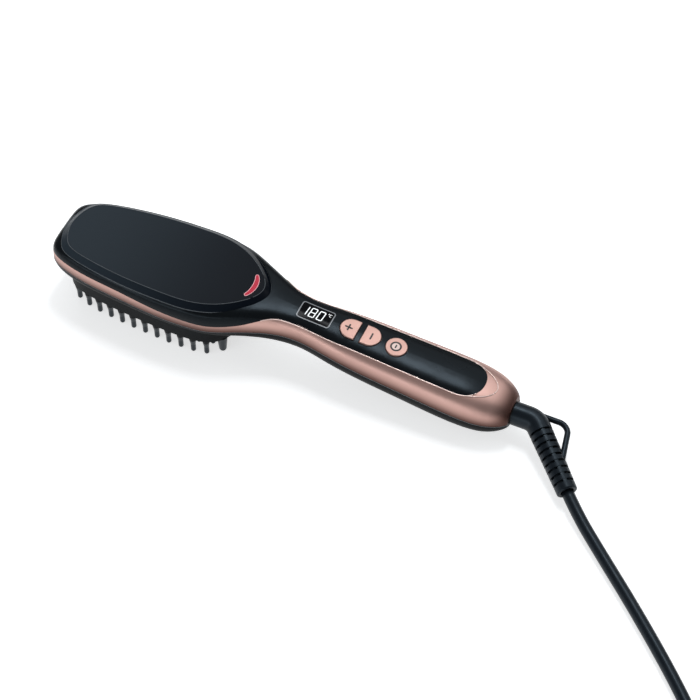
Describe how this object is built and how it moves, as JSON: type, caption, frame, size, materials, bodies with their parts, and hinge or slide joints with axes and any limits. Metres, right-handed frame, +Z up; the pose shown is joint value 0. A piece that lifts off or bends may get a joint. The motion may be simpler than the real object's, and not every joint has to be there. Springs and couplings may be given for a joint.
{
  "type": "hair straightening brush",
  "caption": "Heated hair straightening brush with a panelled head over rows of bristles, a grip with a display and keys, and a mains lead on a swivelling strain relief.",
  "frame": {"origin": "under the middle of the brush, on the surface that its bristle tips and heel lie on", "axes": "+X from the head tip to the cord end of the grip, +Y across the brush, +Z up, from the bristles to the panel"},
  "size_m": [0.5756, 0.2312, 0.045],
  "materials": {
    "black_housing": "satin",
    "rose_gold": "plated, polished",
    "charcoal_panel": "glossy",
    "red_window": "translucent",
    "clear_lamp": "clear",
    "bezel_grey": "satin",
    "display_glass": "dark, polished",
    "inner_plastic": "moulded",
    "board_green": "lacquered",
    "steel": "zinc plated",
    "plate_metal": "black coated",
    "bristle": "matt",
    "heater_ceramic": "fired ceramic",
    "bright_aluminium": "plain",
    "wire": "silicone sleeve",
    "contact_brass": "nickel plated",
    "cord_rubber": "matt"
  },
  "bodies": {
    "housing": {"lower_housing": "black_housing", "trim_frame": "rose_gold", "upper_housing": "black_housing", "head_cover": "charcoal_panel", "ion_light_window": "red_window", "ion_light": "clear_lamp", "display_bezel": "bezel_grey", "display_lens": "display_glass", "display_module": "inner_plastic", "control_board": "board_green", "board_components": "inner_plastic", "board_screws": "steel", "key_switches": "inner_plastic", "bristle_plate": "plate_metal", "guard_nubs": "bristle", "heater_insulator": "inner_plastic", "ptc_heaters": "heater_ceramic", "heater_clamp": "bright_aluminium", "thermal_fuse": "inner_plastic", "thermistor": "inner_plastic", "heat_shield": "bright_aluminium", "ion_generator": "inner_plastic", "heater_leads": "wire", "mains_leads": "wire", "housing_screws": "steel", "plate_screws": "steel", "swivel_bush": "inner_plastic", "contact_block": "inner_plastic", "contact_brushes": "contact_brass", "cord_lead": "cord_rubber", "cord_coil": "cord_rubber", "coil_tie": "cord_rubber", "cord_tail": "cord_rubber", "plug_body": "cord_rubber", "plug_pins": "contact_brass", "bristle_row_01": "bristle", "bristle_row_02": "bristle", "bristle_row_03": "bristle", "bristle_row_04": "bristle", "bristle_row_05": "bristle", "bristle_row_06": "bristle", "bristle_row_07": "bristle", "bristle_row_08": "bristle", "bristle_row_09": "bristle", "bristle_row_10": "bristle", "bristle_row_11": "bristle", "bristle_row_12": "bristle"},
    "plus_key": {"plus_button": "rose_gold", "plus_plunger": "inner_plastic"},
    "minus_key": {"minus_button": "rose_gold", "minus_plunger": "inner_plastic"},
    "power_key": {"power_button": "rose_gold", "power_plunger": "inner_plastic"},
    "cord_swivel": {"swivel_core": "inner_plastic", "contact_rings": "contact_brass", "strain_relief": "cord_rubber", "hanging_loop": "cord_rubber"}
  },
  "joints": [
    {"name": "plus_press", "type": "slide", "parent": "housing", "child": "plus_key", "axis": [-0.0781, 0, -0.9969], "range_m": [0, 0.0004], "stiffness_N_per_m": 2000},
    {"name": "minus_press", "type": "slide", "parent": "housing", "child": "minus_key", "axis": [-0.0781, 0, -0.9969], "range_m": [0, 0.0004], "stiffness_N_per_m": 2000},
    {"name": "power_press", "type": "slide", "parent": "housing", "child": "power_key", "axis": [-0.0781, 0, -0.9969], "range_m": [0, 0.0004], "stiffness_N_per_m": 2000},
    {"name": "cord_turn", "type": "hinge", "parent": "housing", "child": "cord_swivel", "pos_m": [0.145, 0, 0.014], "axis": [-1, 0, 0], "continuous": true}
  ]
}
